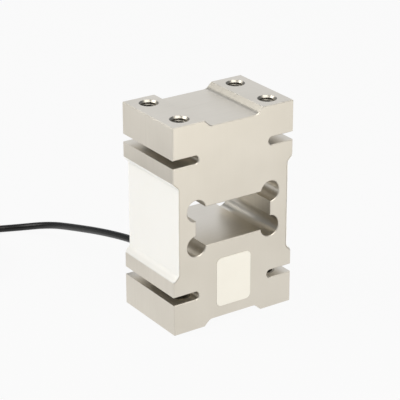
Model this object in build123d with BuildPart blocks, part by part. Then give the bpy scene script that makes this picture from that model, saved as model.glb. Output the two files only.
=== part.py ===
from build123d import *
import math
import os

# Spring body, milled from one block: X is its width, Y its depth and Z its height; the front is at -Y
BODY_WIDTH = 110.0
BODY_DEPTH = 70.0
BODY_HEIGHT = 170.0
EDGE_BREAK = 0.6

# Shallow channels with sloped shoulders: across both ends, between the pads, and down both sides
SHOULDER_ANGLE = 45.0
RELIEF_WIDTH = 53.0
RELIEF_DEPTH = 5.0
RELIEF_FOOT_RADIUS = 6.0
RECESS_LENGTH = 81.5
RECESS_DEPTH = 5.0
RECESS_FOOT_RADIUS = 4.0

# Slots that keep the bolts' strain away from the thin sections
SLOT_HEIGHT = 6.5
SLOT_LENGTH = 23.0
SLOT_FROM_END = 29.0

# Window through the middle, with a round lobe at each corner that leaves a thin section beside it
WINDOW_WIDTH = 69.0
WINDOW_HEIGHT = 32.0
LOBE_DIAMETER = 17.0
LOBE_SPACING_X = 68.0
LOBE_SPACING_Z = 29.0

# M12 holes at their full thread diameter, from each end face into the slot behind it
BOLT_SPACING_X = 80.0
BOLT_SPACING_Y = 42.0
THREAD_DIAMETER = 12.0
COUNTERSINK_DIAMETER = 15.0
COUNTERSINK_ANGLE = 90.0

# Sheet bonded into each side recess, and the thin line of glue under every bonded piece
COVER_THICKNESS = 0.7
COVER_CORNER_RADIUS = 2.0
GLUE_LINE = 0.1

# Pocket in the floor of each side recess, which holds the gauges and their wires under the cover
POCKET_LENGTH = 67.0
POCKET_WIDTH = 28.0
POCKET_DEPTH = 1.2
POCKET_CORNER_RADIUS = 4.0

# Strain gauges: a backing film with a folded grid and two solder tabs
BACKING_LENGTH = 12.0
BACKING_WIDTH = 7.0
BACKING_CORNER_RADIUS = 0.8
BACKING_THICKNESS = 0.15
FOIL_THICKNESS = 0.15
GRID_STRANDS = 6
GRID_LENGTH = 6.0
GRID_SHIFT = 0.4
GRID_PITCH = 0.8
STRAND_WIDTH = 0.4
TAB_WIDTH = 1.4
TAB_LENGTH = 2.4

# Terminal strip between the two gauges of a side
STRIP_LENGTH = 9.0
STRIP_WIDTH = 14.0
STRIP_CENTRE_Y = -2.5
STRIP_BOARD_THICKNESS = 0.2
STRIP_PAD_WIDTH = 0.7
STRIP_PAD_LENGTH = 3.0
JUMPER_PAD_WIDTH = 1.4
JUMPER_PAD_LENGTH = 2.0
JUMPER_PAD_FROM_MIDDLE = 3.0

# Wiring bore at 45 degrees from each pocket down into the cavity
WIRE_BORE_DIAMETER = 6.0
WIRE_BORE_ANGLE = 45.0
WIRE_BORE_Y = -6.6

# Fine wires: jumpers from gauge to strip, and three leads from each strip to the board
JUMPER_DIAMETER = 0.4
GAUGE_LEAD_DIAMETER = 0.5
GAUGE_LEAD_COUNT = 3
GAUGE_LEAD_PITCH = 1.0
GAUGE_LEAD_BACK = 1.0
GAUGE_LEAD_LIFT = 0.02
RIGHT_LEAD_RUN = 2.3
GAUGE_LEAD_BEND_RADIUS = 0.9

# Wiring cavity in the front face, and the plug that closes it
CAVITY_WIDTH = 32.0
CAVITY_HEIGHT = 41.0
CAVITY_CORNER_RADIUS = 4.5
CAVITY_BELOW_MIDDLE = 50.7
PLUG_THICKNESS = 12.0
PLUG_PROUD = 0.3
PLUG_EDGE_RADIUS = 0.3
PLUG_CLEARANCE = 0.1

# Trim board on its foam pad at the back of the cavity
BOARD_CLEARANCE = 1.5
BOARD_CORNER_RADIUS = 3.5
BOARD_THICKNESS = 1.6
FOAM_THICKNESS = 1.0
FOAM_MARGIN = 3.0

# Trim resistors: a body with swollen ends, and leads bent down through the board
RESISTOR_NAMES = ("zero_trim", "zero_temperature", "span_trim", "span_temperature")
RESISTOR_FIRST_BELOW_CENTRE = 7.3
RESISTOR_PITCH = 6.5
RESISTOR_LENGTH = 6.4
RESISTOR_CAP_DIAMETER = 2.5
RESISTOR_WAIST_DIAMETER = 2.1
RESISTOR_CAP_LENGTH = 1.5
RESISTOR_RIM_RADIUS = 0.18
RESISTOR_LEAD_DIAMETER = 0.6
RESISTOR_LEAD_SPAN = 12.7
RESISTOR_LEAD_BEND = 0.8
RESISTOR_LIFT = 0.2
LEAD_HOLE_CLEARANCE = 0.1

# Cores of the cable inside the body: a flat ribbon through the wiring bore onto the board
CORE_DIAMETER = 1.0
CORE_COUNT = 4
CORE_PITCH = 1.02
CORE_FORWARD = 1.0
CORE_BEND_RADIUS = 2.5
CORE_ROW_PITCH = 1.5
CORE_LOWEST_BELOW_CENTRE = 17.0
CORE_RUN = 4.3

# Cable, and the stepped bore that it leaves the back face through
CABLE_DIAMETER = 6.0
CABLE_FROM_SIDE = 15.0
CABLE_BELOW_MIDDLE = 38.0
CABLE_BORE_DIAMETER = 9.0
CABLE_BORE_PAST_WIRES = 4.0
CABLE_INNER_END_Y = 12.0
CABLE_CLEARANCE = 0.05
BUSH_SEAT_DIAMETER = 11.0
BUSH_SEAT_DEPTH = 12.0
BUSH_CLEARANCE = 0.05
BUSH_FLANGE_DIAMETER = 14.0
BUSH_FLANGE_THICKNESS = 2.0
BUSH_NOSE_LENGTH = 6.0
BUSH_NOSE_ROOT_DIAMETER = 10.4
BUSH_NOSE_TIP_DIAMETER = 9.6
BUSH_FLARE_LENGTH = 10.0
BUSH_FLARE_DIAMETER = 7.7
CLAMP_DIAMETER = 8.6
CLAMP_LENGTH = 7.0
CLAMP_FROM_SEAT = 1.0
CLAMP_GROOVE_DEPTH = 0.5
CLAMP_GROOVE_WIDTH = 1.2

# Share of a straight run that the bend at either of its ends takes up
CORD_BEND_SHARE = 0.45

# Route of the cable behind the body: it droops to the floor, then turns to meet the coil
CABLE_FIRST_BEND_Y = 45.6
CABLE_DROOP = [(90.8, 36.6), (138.5, 23.0)]
CABLE_LANDING = [(-41.6, 180.4, 10.8), (-60.0, 206.0, 3.0)]

# Coil of the put-away length: rows of turns, bound by two ties that it rests on
COIL_X = -145.0
COIL_Y = 176.0
COIL_INNER_RADIUS = 25.5
COIL_COLUMNS = 3
COIL_ROWS = 4
COIL_SLACK = 0.15
COIL_EDGE_RADIUS = 2.9
COIL_STUB_LENGTH = 24.0
COIL_LEAD_IN = 28.0
COIL_LEAD_OUT = 15.5
TIE_THICKNESS = 1.2
TIE_WIDTH = 4.8
TIE_SLACK = 0.2
TIE_CORNER_RADIUS = 3.0
TIE_ANGLES = {"near": 30.0, "far": 210.0}
TIE_HEAD_WIDTH = 7.0
TIE_HEAD_LENGTH = 7.5
TIE_HEAD_HEIGHT = 4.5
TIE_HEAD_EDGE_RADIUS = 0.8
TIE_TAIL_LENGTH = 4.0

# Route of the tail after the coil: down to the floor and back along the coil
TAIL_END_X = -209.2
TAIL_END_Y = 153.5
TAIL_POINTS = [
    (-199.5, 210.0, 17.5),
    (TAIL_END_X, 195.0, 10.5),
]
TAIL_LAST_RUN = 19.0

# Shrink sleeve over the end of the jacket, narrower over the flying leads
SLEEVE_DIAMETER = 7.0
SLEEVE_LENGTH = 20.0
SLEEVE_CLEARANCE = 0.1
SLEEVE_OVERLAP = 9.5
SLEEVE_NECK_DIAMETER = 5.2
SLEEVE_NECK_LENGTH = 7.0
SLEEVE_NECK_BORE = 4.4

# Flying leads, fanned on the floor, with tinned tips
LEAD_DIAMETER = 1.4
LEAD_COLOURS = ("red", "green", "shield", "white", "black")
LEAD_BUNDLE_RADIUS = 1.35
LEAD_BUNDLE_ANGLES = (162.0, 234.0, 90.0, 306.0, 18.0)
LEAD_STRAIGHT = 13.0
LEAD_DROP = 15.0
LEAD_DROP_SHIFTS = (-2.8, -0.6, 1.6, 3.8, 6.0)
LEAD_ENDS = ((-2.8, 43.0), (2.0, 44.5), (6.2, 42.5), (11.2, 44.0), (16.2, 42.0))
LEAD_TIP_DIAMETER = 0.9
LEAD_TIP_LENGTH = 6.0

# Places that follow from the sizes above
MIDDLE_Z = BODY_HEIGHT / 2
SIDE_X = BODY_WIDTH / 2
BACK_Y = BODY_DEPTH / 2
FRONT_Y = -BACK_Y
CAVITY_CENTRE_Z = MIDDLE_Z - CAVITY_BELOW_MIDDLE
CABLE_X = CABLE_FROM_SIDE - SIDE_X
CABLE_Z = MIDDLE_Z - CABLE_BELOW_MIDDLE
RECESS_FLOOR_X = SIDE_X - RECESS_DEPTH
POCKET_FLOOR_X = RECESS_FLOOR_X - POCKET_DEPTH
BOARD_FACE_Y = WIRE_BORE_Y + CORE_FORWARD + CORE_DIAMETER / 2
BOARD_BACK_Y = BOARD_FACE_Y + BOARD_THICKNESS
CAVITY_FLOOR_Y = BOARD_BACK_Y + FOAM_THICKNESS
GAUGE_LEAD_Y = WIRE_BORE_Y - GAUGE_LEAD_BACK
STRIP_TOP_X = POCKET_FLOOR_X + GLUE_LINE + STRIP_BOARD_THICKNESS + FOIL_THICKNESS
RESISTOR_Y = BOARD_FACE_Y - RESISTOR_LIFT - RESISTOR_CAP_DIAMETER / 2
SEAT_FLOOR_Y = BACK_Y - BUSH_SEAT_DEPTH
FLANGE_BACK_Y = BACK_Y + BUSH_FLANGE_THICKNESS
NOSE_END_Y = FLANGE_BACK_Y + BUSH_NOSE_LENGTH
COIL_OUTER_RADIUS = COIL_INNER_RADIUS + COIL_COLUMNS * CABLE_DIAMETER + 2 * COIL_SLACK
COIL_HEIGHT = COIL_ROWS * CABLE_DIAMETER + 2 * COIL_SLACK
COIL_BASE_Z = TIE_THICKNESS + TIE_SLACK
COIL_ENTRY_Y = COIL_Y + COIL_OUTER_RADIUS - COIL_SLACK - CABLE_DIAMETER / 2
FIRST_TURN_Z = COIL_BASE_Z + COIL_SLACK + CABLE_DIAMETER / 2
LAST_TURN_Z = FIRST_TURN_Z + (COIL_ROWS - 1) * CABLE_DIAMETER
TAIL_Z = SLEEVE_DIAMETER / 2
SIDES = (("left", -1), ("right", 1))
LEVELS = (("upper", 1), ("lower", -1))

os.makedirs("parts", exist_ok=True)


def channel(mouth, depth, foot_radius):
    """Section of a shallow channel: its mouth on the X axis, its floor below, its shoulders sloped."""
    run = depth / math.tan(math.radians(SHOULDER_ANGLE))
    half = mouth / 2
    with BuildSketch() as section:
        with BuildLine():
            Polyline((-half, 0), (run - half, -depth), (half - run, -depth), (half, 0), close=True)
        make_face()
        fillet(section.vertices().group_by(Axis.Y)[0], foot_radius)
    return section.sketch


def arc_radii(points):
    """Radius at each corner of a cord: as large as the shorter of its two runs allows."""
    radii = []
    for before, corner, after in zip(points, points[1:], points[2:]):
        run_in = Vector(corner) - Vector(before)
        run_out = Vector(after) - Vector(corner)
        half_turn = math.radians(run_in.get_angle(run_out)) / 2
        radii.append(CORD_BEND_SHARE * min(run_in.length, run_out.length) / math.tan(half_turn))
    return radii


def round_wire(points, radii, diameter):
    """Solid of a round wire or cord along straight runs joined by tangent arcs."""
    with BuildPart() as strand:
        with BuildLine() as path:
            if len(points) > 2:
                FilletPolyline(*points, radius=radii)
            else:
                Line(*points)
        with BuildSketch(Plane(origin=path.line @ 0, z_dir=path.line % 0)):
            Circle(diameter / 2)
        sweep()
    return strand.part


def side_plane(side, x):
    """Plane parallel to a side of the body, seen from outside: local X is the row's Y."""
    return Plane(origin=(side * x, 0, MIDDLE_Z), x_dir=(0, 1, 0), z_dir=(side, 0, 0))


def on_bore(side, along, across, y):
    """Point in a wiring bore, along and across its axis from where it meets the cable's axis."""
    slope = math.radians(WIRE_BORE_ANGLE)
    x = CABLE_X + along * math.cos(slope) + across * math.sin(slope)
    z = CABLE_Z - along * math.sin(slope) + across * math.cos(slope)
    return (-side * x, y, z)


# Spring body: one profile through the whole depth, then the bores, pockets and the cavity
relief = channel(RELIEF_WIDTH, RELIEF_DEPTH, RELIEF_FOOT_RADIUS)
recess = channel(RECESS_LENGTH, RECESS_DEPTH, RECESS_FOOT_RADIUS)
bore_start = -(CABLE_X + POCKET_FLOOR_X) / math.cos(math.radians(WIRE_BORE_ANGLE)) - WIRE_BORE_DIAMETER / 2
bore_end = -(CABLE_X + CAVITY_WIDTH / 2) / math.cos(math.radians(WIRE_BORE_ANGLE)) + WIRE_BORE_DIAMETER / 2
with BuildPart() as beam:
    with BuildSketch(Plane.XZ):
        with Locations((0, MIDDLE_Z)):
            Rectangle(BODY_WIDTH, BODY_HEIGHT)
        with Locations((0, BODY_HEIGHT)):
            add(relief, mode=Mode.SUBTRACT)
        with Locations((0, 0)):
            add(relief, rotation=180, mode=Mode.SUBTRACT)
        with Locations((-SIDE_X, MIDDLE_Z)):
            add(recess, rotation=90, mode=Mode.SUBTRACT)
        with Locations((SIDE_X, MIDDLE_Z)):
            add(recess, rotation=-90, mode=Mode.SUBTRACT)
        with Locations((0, MIDDLE_Z)):
            with GridLocations(BODY_WIDTH, BODY_HEIGHT - 2 * SLOT_FROM_END, 2, 2):
                SlotOverall(2 * SLOT_LENGTH, SLOT_HEIGHT, mode=Mode.SUBTRACT)
            Rectangle(WINDOW_WIDTH, WINDOW_HEIGHT, mode=Mode.SUBTRACT)
            with GridLocations(LOBE_SPACING_X, LOBE_SPACING_Z, 2, 2):
                Circle(LOBE_DIAMETER / 2, mode=Mode.SUBTRACT)
    extrude(amount=BODY_DEPTH / 2, both=True)
    outline = beam.faces().filter_by(Axis.Y).edges()
    corners = beam.edges().filter_by(Axis.Y).filter_by(
        lambda edge: abs(abs(edge.center().X) - SIDE_X) < EDGE_BREAK
        and abs(abs(edge.center().Z - MIDDLE_Z) - MIDDLE_Z) < EDGE_BREAK
    )
    chamfer(outline + corners, EDGE_BREAK)
    for end_z, facing in ((0, -1), (BODY_HEIGHT, 1)):
        with Locations(Plane(origin=(0, 0, end_z), x_dir=(1, 0, 0), z_dir=(0, 0, facing))):
            with GridLocations(BOLT_SPACING_X, BOLT_SPACING_Y, 2, 2):
                CounterSinkHole(
                    THREAD_DIAMETER / 2, COUNTERSINK_DIAMETER / 2, SLOT_FROM_END, COUNTERSINK_ANGLE
                )
    with BuildSketch(Plane.XZ.offset(-FRONT_Y)):
        with Locations((0, CAVITY_CENTRE_Z)):
            RectangleRounded(CAVITY_WIDTH, CAVITY_HEIGHT, CAVITY_CORNER_RADIUS)
    extrude(amount=FRONT_Y - CAVITY_FLOOR_Y, mode=Mode.SUBTRACT)
    for name, side in SIDES:
        with BuildSketch(side_plane(side, RECESS_FLOOR_X)):
            RectangleRounded(POCKET_WIDTH, POCKET_LENGTH, POCKET_CORNER_RADIUS)
        extrude(amount=-POCKET_DEPTH, mode=Mode.SUBTRACT)
        start = Vector(on_bore(side, bore_start, 0, WIRE_BORE_Y))
        finish = Vector(on_bore(side, bore_end, 0, WIRE_BORE_Y))
        with BuildSketch(Plane(origin=start, z_dir=finish - start)):
            Circle(WIRE_BORE_DIAMETER / 2)
        extrude(amount=(finish - start).length, mode=Mode.SUBTRACT)
    with Locations(Plane(origin=(CABLE_X, BACK_Y, CABLE_Z), x_dir=(1, 0, 0), z_dir=(0, 1, 0))):
        CounterBoreHole(
            CABLE_BORE_DIAMETER / 2,
            BUSH_SEAT_DIAMETER / 2,
            BUSH_SEAT_DEPTH,
            BACK_Y - WIRE_BORE_Y + CABLE_BORE_PAST_WIRES,
        )
beam.part.label = "beam"
export_step(beam.part, "parts/beam.step")

# Cover sheets, moulded to the floor and shoulders of the side recesses
for name, side in SIDES:
    slope = math.sin(math.radians(SHOULDER_ANGLE))
    skin = GLUE_LINE + COVER_THICKNESS
    under = channel(
        RECESS_LENGTH - 2 * GLUE_LINE / slope, RECESS_DEPTH - GLUE_LINE, RECESS_FOOT_RADIUS - GLUE_LINE
    )
    over = channel(RECESS_LENGTH - 2 * skin / slope, RECESS_DEPTH - skin, RECESS_FOOT_RADIUS - skin)
    with BuildPart() as cover:
        with BuildSketch(Plane.XZ):
            with Locations((side * SIDE_X, MIDDLE_Z)):
                add(under, rotation=-90 * side)
                add(over, rotation=-90 * side, mode=Mode.SUBTRACT)
        extrude(amount=BODY_DEPTH / 2, both=True)
        with BuildSketch(side_plane(side, RECESS_FLOOR_X)):
            RectangleRounded(BODY_DEPTH, RECESS_LENGTH - 2 * GLUE_LINE / slope, COVER_CORNER_RADIUS)
        extrude(amount=RECESS_DEPTH, mode=Mode.INTERSECT)
    cover.part.label = f"{name}_cover"
    export_step(cover.part, f"parts/{name}_cover.step")

# Plug that closes the cavity, standing slightly proud of the front face
with BuildPart() as cavity_plug:
    with BuildSketch(Plane.XZ.offset(PLUG_PROUD - FRONT_Y)):
        with Locations((0, CAVITY_CENTRE_Z)):
            RectangleRounded(
                CAVITY_WIDTH - 2 * PLUG_CLEARANCE,
                CAVITY_HEIGHT - 2 * PLUG_CLEARANCE,
                CAVITY_CORNER_RADIUS - PLUG_CLEARANCE,
            )
    extrude(amount=-PLUG_THICKNESS)
    fillet(cavity_plug.faces().sort_by(Axis.Y)[0].edges(), PLUG_EDGE_RADIUS)
cavity_plug.part.label = "cavity_plug"
export_step(cavity_plug.part, "parts/cavity_plug.step")

# Trim board at the back of the cavity, drilled for the resistors' leads
board_width = CAVITY_WIDTH - 2 * BOARD_CLEARANCE
board_height = CAVITY_HEIGHT - 2 * BOARD_CLEARANCE
first_row = CAVITY_CENTRE_Z - RESISTOR_FIRST_BELOW_CENTRE
resistor_rows = [first_row + row * RESISTOR_PITCH for row in range(len(RESISTOR_NAMES))]
with BuildPart() as trim_board:
    with BuildSketch(Plane.XZ.offset(-BOARD_BACK_Y)):
        with Locations((0, CAVITY_CENTRE_Z)):
            RectangleRounded(board_width, board_height, BOARD_CORNER_RADIUS)
        for z in resistor_rows:
            with Locations((-RESISTOR_LEAD_SPAN / 2, z), (RESISTOR_LEAD_SPAN / 2, z)):
                Circle(RESISTOR_LEAD_DIAMETER / 2 + LEAD_HOLE_CLEARANCE, mode=Mode.SUBTRACT)
    extrude(amount=BOARD_THICKNESS)
trim_board.part.label = "trim_board"
export_step(trim_board.part, "parts/trim_board.step")

# Foam pad between the board and the cavity's floor
with BuildPart() as board_pad:
    with BuildSketch(Plane.XZ.offset(-CAVITY_FLOOR_Y)):
        with Locations((0, CAVITY_CENTRE_Z)):
            Rectangle(board_width - 2 * FOAM_MARGIN, board_height - 2 * FOAM_MARGIN)
    extrude(amount=FOAM_THICKNESS)
board_pad.part.label = "board_pad"
export_step(board_pad.part, "parts/board_pad.step")

# Trim resistors, one above the other, their leads cut flush with the board's back
for name, z in zip(RESISTOR_NAMES, resistor_rows):
    reach = RESISTOR_LEAD_SPAN / 2
    lead_points = [
        (-reach, BOARD_BACK_Y, z),
        (-reach, RESISTOR_Y, z),
        (reach, RESISTOR_Y, z),
        (reach, BOARD_BACK_Y, z),
    ]
    lead = round_wire(lead_points, [RESISTOR_LEAD_BEND, RESISTOR_LEAD_BEND], RESISTOR_LEAD_DIAMETER)
    cap_x = (RESISTOR_LENGTH - RESISTOR_CAP_LENGTH) / 2
    with BuildPart() as resistor:
        with Locations(Location((0, RESISTOR_Y, z), (0, 90, 0))):
            Cylinder(RESISTOR_WAIST_DIAMETER / 2, RESISTOR_LENGTH)
        with Locations([Location((side * cap_x, RESISTOR_Y, z), (0, 90, 0)) for end, side in SIDES]):
            Cylinder(RESISTOR_CAP_DIAMETER / 2, RESISTOR_CAP_LENGTH)
        rims = resistor.edges().filter_by(
            lambda edge: edge.geom_type == GeomType.CIRCLE and edge.radius > RESISTOR_WAIST_DIAMETER / 2
        )
        fillet(rims, RESISTOR_RIM_RADIUS)
        add(lead)
    resistor.part.label = f"{name}_resistor"
    export_step(resistor.part, f"parts/{name}_resistor.step")

# Strain gauges over the four thin sections, their solder tabs towards the terminal strip
for name, side in SIDES:
    for level_name, level in LEVELS:
        away = side * level
        centre = away * LOBE_SPACING_Z / 2
        strand_xs = [(strand - (GRID_STRANDS - 1) / 2) * GRID_PITCH for strand in range(GRID_STRANDS)]
        with BuildPart() as gauge:
            with BuildSketch(side_plane(side, POCKET_FLOOR_X + GLUE_LINE)):
                with Locations((0, centre)):
                    RectangleRounded(BACKING_WIDTH, BACKING_LENGTH, BACKING_CORNER_RADIUS)
            extrude(amount=BACKING_THICKNESS)
            with BuildSketch(side_plane(side, POCKET_FLOOR_X + GLUE_LINE + BACKING_THICKNESS)):
                with Locations([(x, centre + away * GRID_SHIFT) for x in strand_xs]):
                    Rectangle(STRAND_WIDTH, GRID_LENGTH)
                for strand, x in enumerate(strand_xs[:-1]):
                    far = 1 if strand % 2 == 0 else -1
                    loop_y = centre + away * (GRID_SHIFT + far * (GRID_LENGTH - STRAND_WIDTH) / 2)
                    with Locations((x + GRID_PITCH / 2, loop_y)):
                        Rectangle(GRID_PITCH, STRAND_WIDTH)
                tab_y = centre + away * (GRID_SHIFT - (GRID_LENGTH + TAB_LENGTH) / 2)
                with Locations((strand_xs[0], tab_y), (strand_xs[-1], tab_y)):
                    Rectangle(TAB_WIDTH, TAB_LENGTH)
            extrude(amount=FOIL_THICKNESS)
        gauge.part.label = f"{level_name}_{name}_gauge"
        export_step(gauge.part, f"parts/{level_name}_{name}_gauge.step")

# Terminal strips, with pads for the jumpers of both gauges and for the leads to the board
tab_x = (GRID_STRANDS - 1) / 2 * GRID_PITCH
first_lead_y = GAUGE_LEAD_Y - (GAUGE_LEAD_COUNT - 1) / 2 * GAUGE_LEAD_PITCH
lead_ys = [first_lead_y + lead * GAUGE_LEAD_PITCH for lead in range(GAUGE_LEAD_COUNT)]
for name, side in SIDES:
    with BuildPart() as strip:
        with BuildSketch(side_plane(side, POCKET_FLOOR_X + GLUE_LINE)):
            with Locations((STRIP_CENTRE_Y, 0)):
                Rectangle(STRIP_WIDTH, STRIP_LENGTH)
        extrude(amount=STRIP_BOARD_THICKNESS)
        with BuildSketch(side_plane(side, STRIP_TOP_X - FOIL_THICKNESS)):
            with GridLocations(2 * tab_x, 2 * JUMPER_PAD_FROM_MIDDLE, 2, 2):
                Rectangle(JUMPER_PAD_WIDTH, JUMPER_PAD_LENGTH)
            with Locations([(y, 0) for y in lead_ys]):
                Rectangle(STRIP_PAD_WIDTH, STRIP_PAD_LENGTH)
        extrude(amount=FOIL_THICKNESS)
    strip.part.label = f"{name}_terminal_strip"
    export_step(strip.part, f"parts/{name}_terminal_strip.step")

# Fine wires of each side: jumpers from the gauges' tabs to the strip, and leads to the board
lowest_row = CAVITY_CENTRE_Z - CORE_LOWEST_BELOW_CENTRE
core_rows = [lowest_row + core * CORE_ROW_PITCH for core in range(CORE_COUNT)]
landing_x = -CABLE_X - (CABLE_Z - lowest_row) / math.tan(math.radians(WIRE_BORE_ANGLE))
lead_end_x = {"left": 0.0, "right": landing_x - RIGHT_LEAD_RUN}
for name, side in SIDES:
    strands = []
    jumper_x = side * (STRIP_TOP_X + GAUGE_LEAD_LIFT + JUMPER_DIAMETER / 2)
    for level_name, level in LEVELS:
        tab_z = MIDDLE_Z + level * (LOBE_SPACING_Z / 2 + GRID_SHIFT - (GRID_LENGTH + TAB_LENGTH) / 2)
        pad_z = MIDDLE_Z + level * JUMPER_PAD_FROM_MIDDLE
        for y in (-tab_x, tab_x):
            strands.append(round_wire([(jumper_x, y, tab_z), (jumper_x, y, pad_z)], [], JUMPER_DIAMETER))
    lead_x = STRIP_TOP_X + GAUGE_LEAD_LIFT + GAUGE_LEAD_DIAMETER / 2
    slope = math.tan(math.radians(WIRE_BORE_ANGLE))
    for y, row_z in zip(lead_ys, core_rows):
        row_x = -CABLE_X - (CABLE_Z - row_z) / slope
        lead_points = [
            (side * lead_x, y, MIDDLE_Z),
            (side * lead_x, y, CABLE_Z + (lead_x + CABLE_X) * slope),
            (side * row_x, y, row_z),
            (lead_end_x[name], y, row_z),
            (lead_end_x[name], BOARD_FACE_Y - GAUGE_LEAD_LIFT, row_z),
        ]
        bends = [GAUGE_LEAD_BEND_RADIUS] * (len(lead_points) - 2)
        strands.append(round_wire(lead_points, bends, GAUGE_LEAD_DIAMETER))
    with BuildPart() as gauge_wires:
        add(strands)
    gauge_wires.part.label = f"{name}_gauge_wires"
    export_step(gauge_wires.part, f"parts/{name}_gauge_wires.step")

# Cores of the cable, side by side from its inner end through the wiring bore onto the board
core_y = WIRE_BORE_Y + CORE_FORWARD
cores = []
for core, row_z in enumerate(core_rows):
    across = (core - (CORE_COUNT - 1) / 2) * CORE_PITCH
    start = Vector(on_bore(-1, 0, across, core_y))
    slope = math.radians(WIRE_BORE_ANGLE)
    along = (start.Z - row_z) / math.sin(slope)
    core_points = [
        (start.X, CABLE_INNER_END_Y, start.Z),
        (start.X, core_y, start.Z),
        on_bore(-1, along, across, core_y),
        (CORE_RUN - landing_x, core_y, row_z),
    ]
    cores.append(round_wire(core_points, [CORE_BEND_RADIUS, CORE_BEND_RADIUS], CORE_DIAMETER))
with BuildPart() as board_leads:
    add(cores)
board_leads.part.label = "board_leads"
export_step(board_leads.part, "parts/board_leads.step")

# Moulded bush in the back face: shank, flange, and a nose whose mouth flares to guide the cable
bush_bore = CABLE_DIAMETER / 2 + CABLE_CLEARANCE
with BuildPart() as cable_bush:
    with BuildSketch(Plane.XY.offset(CABLE_Z)):
        with BuildLine():
            Polyline(
                (CABLE_X + bush_bore, SEAT_FLOOR_Y + BUSH_CLEARANCE),
                (CABLE_X + BUSH_SEAT_DIAMETER / 2 - BUSH_CLEARANCE, SEAT_FLOOR_Y + BUSH_CLEARANCE),
                (CABLE_X + BUSH_SEAT_DIAMETER / 2 - BUSH_CLEARANCE, BACK_Y + BUSH_CLEARANCE),
                (CABLE_X + BUSH_FLANGE_DIAMETER / 2, BACK_Y + BUSH_CLEARANCE),
                (CABLE_X + BUSH_FLANGE_DIAMETER / 2, FLANGE_BACK_Y),
                (CABLE_X + BUSH_NOSE_ROOT_DIAMETER / 2, FLANGE_BACK_Y),
                (CABLE_X + BUSH_NOSE_TIP_DIAMETER / 2, NOSE_END_Y),
                (CABLE_X + BUSH_FLARE_DIAMETER / 2, NOSE_END_Y),
                (CABLE_X + bush_bore, NOSE_END_Y - BUSH_FLARE_LENGTH),
                close=True,
            )
        make_face()
    revolve(axis=Axis((CABLE_X, 0, CABLE_Z), (0, 1, 0)))
cable_bush.part.label = "cable_bush"
export_step(cable_bush.part, "parts/cable_bush.step")

# Crimp ring on the cable inside its bore, squeezed in the middle
ring_y = SEAT_FLOOR_Y - CLAMP_FROM_SEAT - CLAMP_LENGTH / 2
with BuildPart() as cable_clamp:
    with Locations(Location((CABLE_X, ring_y, CABLE_Z), (90, 0, 0))):
        Cylinder(CLAMP_DIAMETER / 2, CLAMP_LENGTH)
        Cylinder(CLAMP_DIAMETER / 2, CLAMP_GROOVE_WIDTH, mode=Mode.SUBTRACT)
        Cylinder(CLAMP_DIAMETER / 2 - CLAMP_GROOVE_DEPTH, CLAMP_GROOVE_WIDTH)
        Cylinder(bush_bore, CLAMP_LENGTH, mode=Mode.SUBTRACT)
cable_clamp.part.label = "cable_clamp"
export_step(cable_clamp.part, "parts/cable_clamp.step")

# Cable from its inner end to the coil, and its tail after the coil
coil_start = (COIL_X + COIL_STUB_LENGTH, COIL_ENTRY_Y, FIRST_TURN_Z)
coil_finish = (COIL_X - COIL_STUB_LENGTH, COIL_ENTRY_Y, LAST_TURN_Z)
before_coil = (coil_start[0] + COIL_LEAD_IN, COIL_ENTRY_Y, FIRST_TURN_Z)
after_coil = (coil_finish[0] - COIL_LEAD_OUT, COIL_ENTRY_Y, LAST_TURN_Z)
before_tail_end = (TAIL_END_X, TAIL_END_Y + TAIL_LAST_RUN, TAIL_Z)
tail_end = (TAIL_END_X, TAIL_END_Y, TAIL_Z)
cable_path = [(CABLE_X, CABLE_INNER_END_Y, CABLE_Z), (CABLE_X, CABLE_FIRST_BEND_Y, CABLE_Z)]
cable_path += [(CABLE_X, y, z) for y, z in CABLE_DROOP] + CABLE_LANDING + [before_coil, coil_start]
tail_path = [coil_finish, after_coil] + TAIL_POINTS + [before_tail_end, tail_end]
cable_tube = round_wire(cable_path, arc_radii(cable_path), CABLE_DIAMETER)
tail_tube = round_wire(tail_path, arc_radii(tail_path), CABLE_DIAMETER)
with BuildPart() as cable:
    add(cable_tube)
cable.part.label = "cable"
export_step(cable.part, "parts/cable.step")
with BuildPart() as cable_tail:
    add(tail_tube)
cable_tail.part.label = "cable_tail"
export_step(cable_tail.part, "parts/cable_tail.step")
for name, points in (("cable", cable_path), ("tail", tail_path)):
    print(name, "radii", [round(radius, 1) for radius in arc_radii(points)])

# Outer shape of the coil, with the ends of its outermost turns standing off at a tangent
with BuildPart() as cable_coil:
    with Locations((COIL_X, COIL_Y, COIL_BASE_Z + COIL_HEIGHT / 2)):
        Cylinder(COIL_OUTER_RADIUS, COIL_HEIGHT)
        Cylinder(COIL_INNER_RADIUS, COIL_HEIGHT, mode=Mode.SUBTRACT)
    fillet(cable_coil.edges().filter_by(GeomType.CIRCLE), COIL_EDGE_RADIUS)
    stub_places = [
        Location((COIL_X + COIL_STUB_LENGTH / 2, COIL_ENTRY_Y, FIRST_TURN_Z), (0, 90, 0)),
        Location((COIL_X - COIL_STUB_LENGTH / 2, COIL_ENTRY_Y, LAST_TURN_Z), (0, 90, 0)),
    ]
    with Locations(stub_places):
        Cylinder(CABLE_DIAMETER / 2, COIL_STUB_LENGTH)
cable_coil.part.label = "cable_coil"
export_step(cable_coil.part, "parts/cable_coil.step")

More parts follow.
